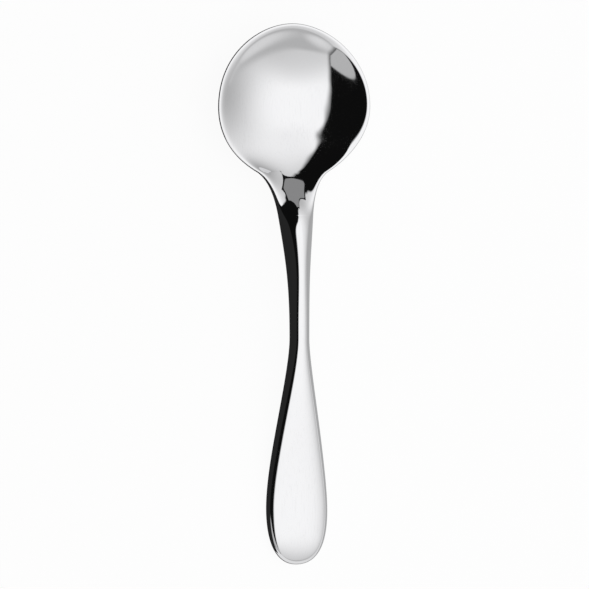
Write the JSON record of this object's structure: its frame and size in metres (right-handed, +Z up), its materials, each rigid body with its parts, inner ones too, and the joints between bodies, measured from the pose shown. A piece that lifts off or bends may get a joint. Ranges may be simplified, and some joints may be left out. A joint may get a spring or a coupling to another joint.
{
  "type": "serving spoon",
  "caption": "Round-bowled serving spoon in mirror-polished stainless steel, with a waisted, arched neck and a domed teardrop grip, for lifting and serving food.",
  "frame": {"origin": "middle of the spoon's length and width, on the table that it stands on", "axes": "+X across the spoon, to the right with the bowl pointing away; +Y along the spoon towards the tip of the bowl; +Z up, out of the bowl's mouth"},
  "size_m": [0.0674, 0.23, 0.0194],
  "materials": {
    "bowl_steel": "polished",
    "handle_steel": "polished"
  },
  "bodies": {
    "root": {"bowl": "bowl_steel", "handle": "handle_steel"}
  },
  "joints": []
}
